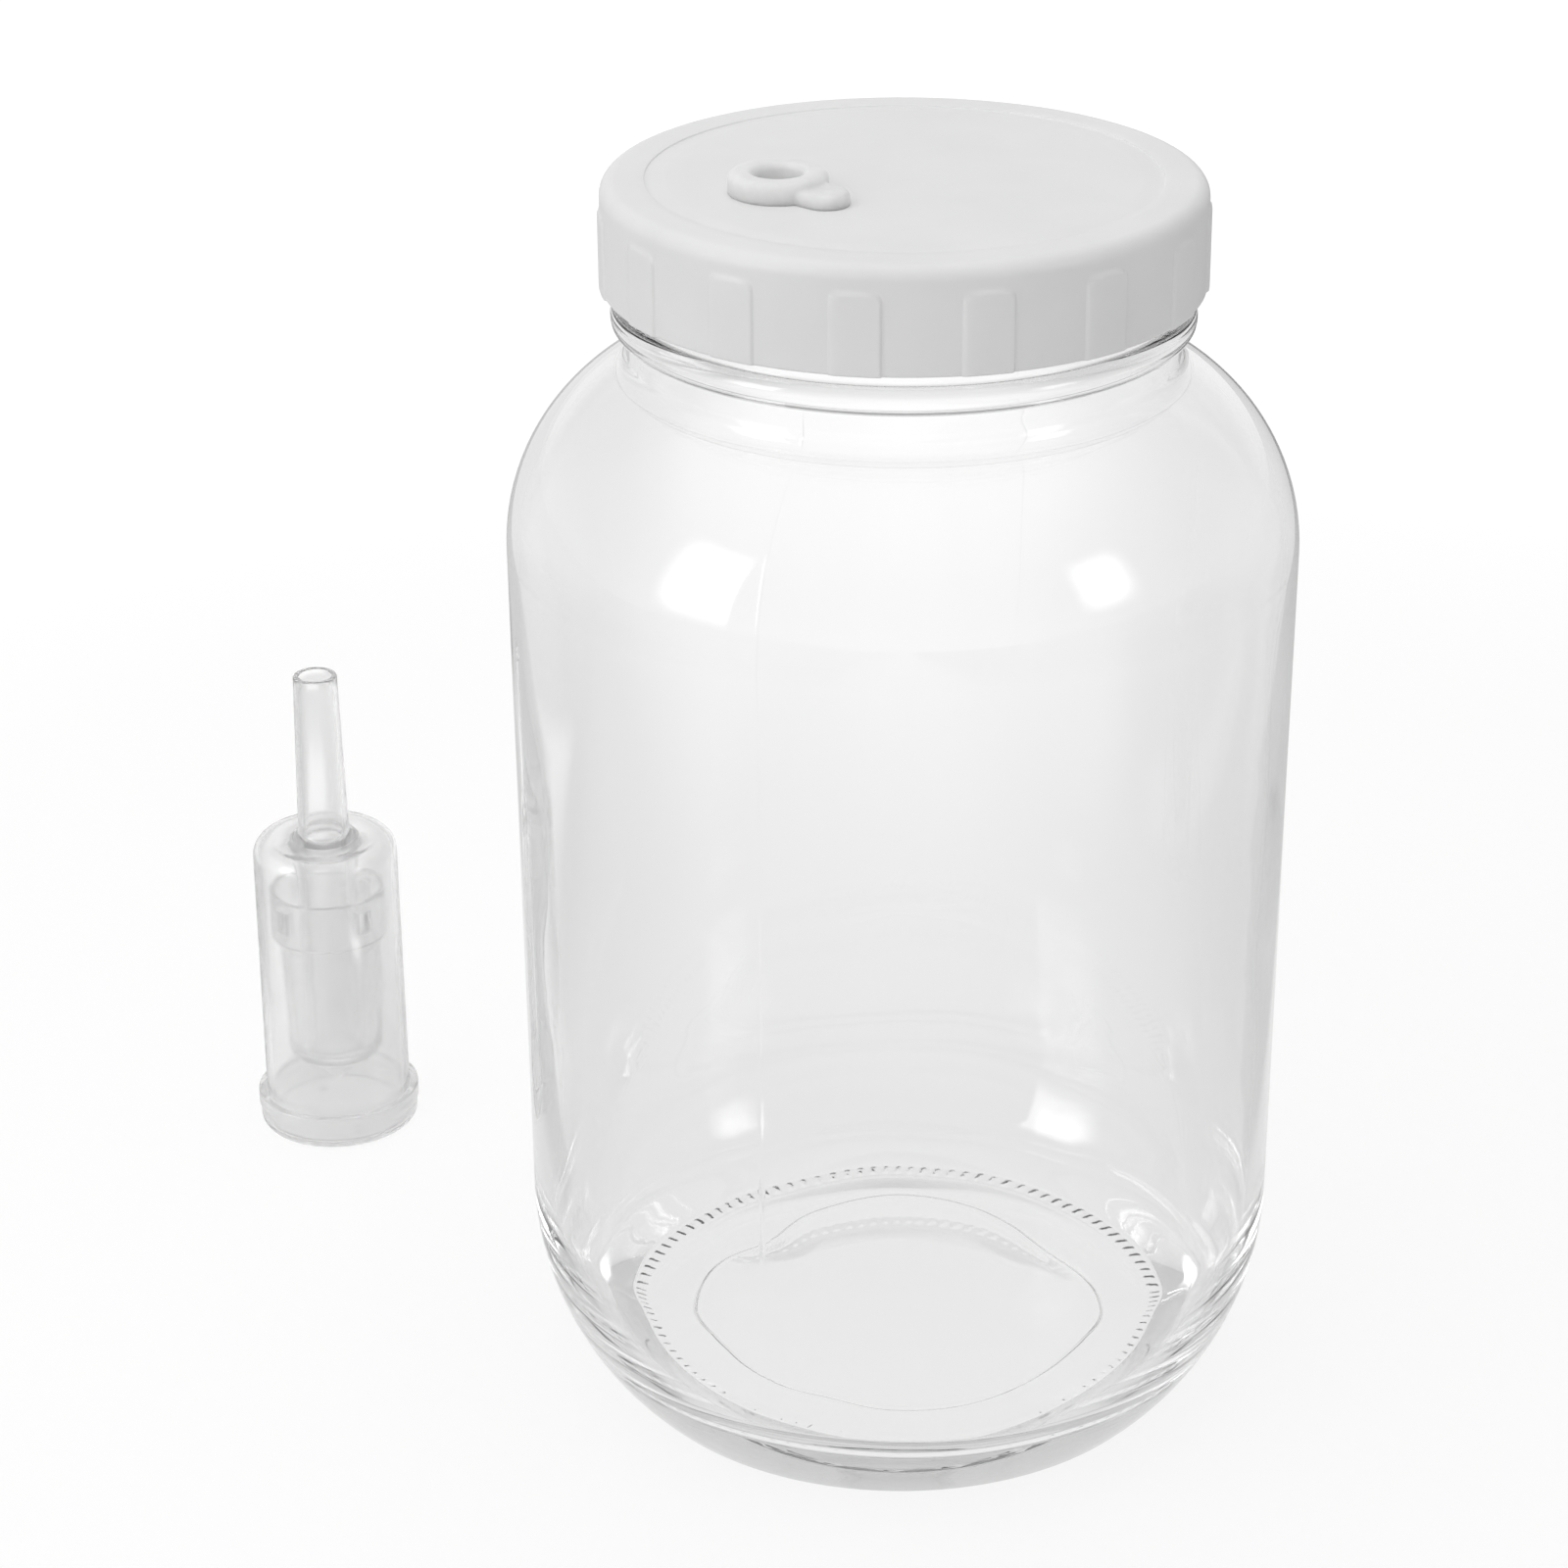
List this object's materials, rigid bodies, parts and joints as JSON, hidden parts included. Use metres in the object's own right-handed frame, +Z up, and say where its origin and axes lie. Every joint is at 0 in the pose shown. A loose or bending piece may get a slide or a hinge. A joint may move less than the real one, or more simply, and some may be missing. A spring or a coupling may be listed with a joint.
{
  "type": "fermentation jar with airlock",
  "caption": "Wide-mouth glass fermentation jar with a screw lid, a grommet for an airlock in the lid, and a clear water airlock standing beside it.",
  "frame": {"origin": "centre of the jar's foot ring, on the surface that it stands on", "axes": "+Z up along the jar's axis towards the lid, -Y is the front that the picture shows, +X is the picture's right"},
  "size_m": [0.2273, 0.1944, 0.2612],
  "materials": {
    "jar_glass": "clear flint glass, blown in a mould",
    "lid_plastic": "white moulded polypropylene",
    "seal_silicone": "translucent white silicone",
    "grommet_silicone": "translucent white silicone",
    "airlock_plastic": "clear moulded polypropylene"
  },
  "bodies": {
    "jar": {"jar": "jar_glass"},
    "seal": {"seal_ring": "seal_silicone"},
    "lid": {"lid": "lid_plastic", "grommet": "grommet_silicone"},
    "airlock_cap": {"airlock_cap": "airlock_plastic"},
    "airlock_body": {"airlock_body": "airlock_plastic"},
    "bubbler": {"bubbler": "airlock_plastic"}
  },
  "joints": [
    {"name": "lid_rise", "type": "slide", "parent": "jar", "child": "seal", "axis": [0, 0, 1], "range_m": [0, 0.0204]},
    {"name": "lid_turn", "type": "hinge", "parent": "seal", "child": "lid", "pos_m": [0, 0, 0.2552], "axis": [0, 0, 1], "range_deg": [0, 1440]},
    {"name": "airlock_lift", "type": "slide", "parent": "jar", "child": "airlock_cap", "axis": [0, 0, 1], "range_m": [0, 0.15]},
    {"name": "chamber_pull", "type": "slide", "parent": "airlock_cap", "child": "airlock_body", "axis": [0, 0, 1], "range_m": [0, 0.02]},
    {"name": "bubbler_travel", "type": "slide", "parent": "airlock_body", "child": "bubbler", "axis": [0, 0, -1], "range_m": [0, 0.008]}
  ],
  "couplings": [
    {"joint": "lid_rise", "follows": "lid_turn", "m_per_rad": 0.00080851}
  ]
}
